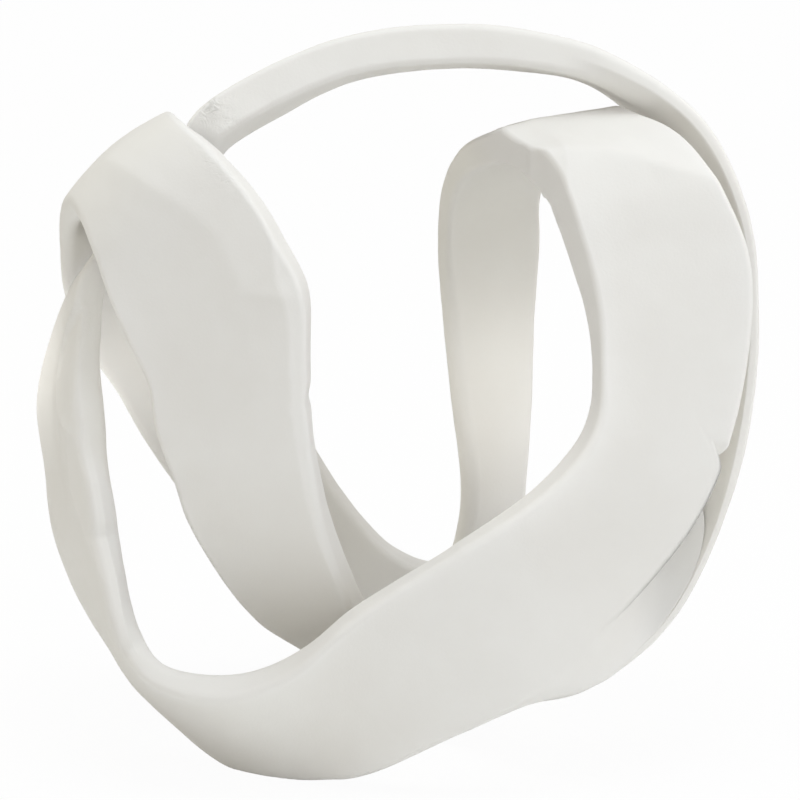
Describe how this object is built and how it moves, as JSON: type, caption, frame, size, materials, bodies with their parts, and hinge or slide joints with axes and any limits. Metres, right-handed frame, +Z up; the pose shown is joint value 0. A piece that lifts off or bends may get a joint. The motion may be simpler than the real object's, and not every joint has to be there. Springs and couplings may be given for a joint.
{
  "type": "knot sculpture",
  "caption": "Matte off-white cast knot of one wide flat band that loops over and under itself and stands on flats ground on its lower bends.",
  "frame": {"origin": "on the floor, below the middle of the knot", "axes": "+Z up, +X to the right and +Y to the back of the knot as it faces the viewer"},
  "size_m": [0.2395, 0.1389, 0.2452],
  "materials": {
    "cast_band": "matte, hand smoothed, with small dressed marks and nicks",
    "dowel_pin": "ground"
  },
  "bodies": {
    "root": {"side_hoop": "cast_band", "top_hoop": "cast_band", "fold_pass_strand": "cast_band", "left_twist_strap": "cast_band", "front_left_band": "cast_band", "front_right_band": "cast_band", "right_side_band": "cast_band", "crest_arch": "cast_band", "rear_strap": "cast_band", "rear_bend": "cast_band", "back_strap": "cast_band", "left_fold": "cast_band", "left_front_strap": "cast_band", "under_bend": "cast_band", "hoop_foot": "cast_band", "side_hoop_dowel_a": "dowel_pin", "side_hoop_dowel_b": "dowel_pin", "top_hoop_dowel_a": "dowel_pin", "top_hoop_dowel_b": "dowel_pin", "fold_pass_strand_dowel_a": "dowel_pin", "fold_pass_strand_dowel_b": "dowel_pin", "left_twist_strap_dowel_a": "dowel_pin", "left_twist_strap_dowel_b": "dowel_pin", "front_left_band_dowel_a": "dowel_pin", "front_left_band_dowel_b": "dowel_pin", "front_right_band_dowel_a": "dowel_pin", "front_right_band_dowel_b": "dowel_pin", "right_side_band_dowel_a": "dowel_pin", "right_side_band_dowel_b": "dowel_pin", "crest_arch_dowel_a": "dowel_pin", "crest_arch_dowel_b": "dowel_pin", "rear_strap_dowel_a": "dowel_pin", "rear_strap_dowel_b": "dowel_pin", "rear_bend_dowel_a": "dowel_pin", "rear_bend_dowel_b": "dowel_pin", "back_strap_dowel_a": "dowel_pin", "back_strap_dowel_b": "dowel_pin", "left_fold_dowel_a": "dowel_pin", "left_fold_dowel_b": "dowel_pin", "left_front_strap_dowel_a": "dowel_pin", "left_front_strap_dowel_b": "dowel_pin", "under_bend_dowel_a": "dowel_pin", "under_bend_dowel_b": "dowel_pin", "hoop_foot_dowel_a": "dowel_pin", "hoop_foot_dowel_b": "dowel_pin"}
  },
  "joints": []
}
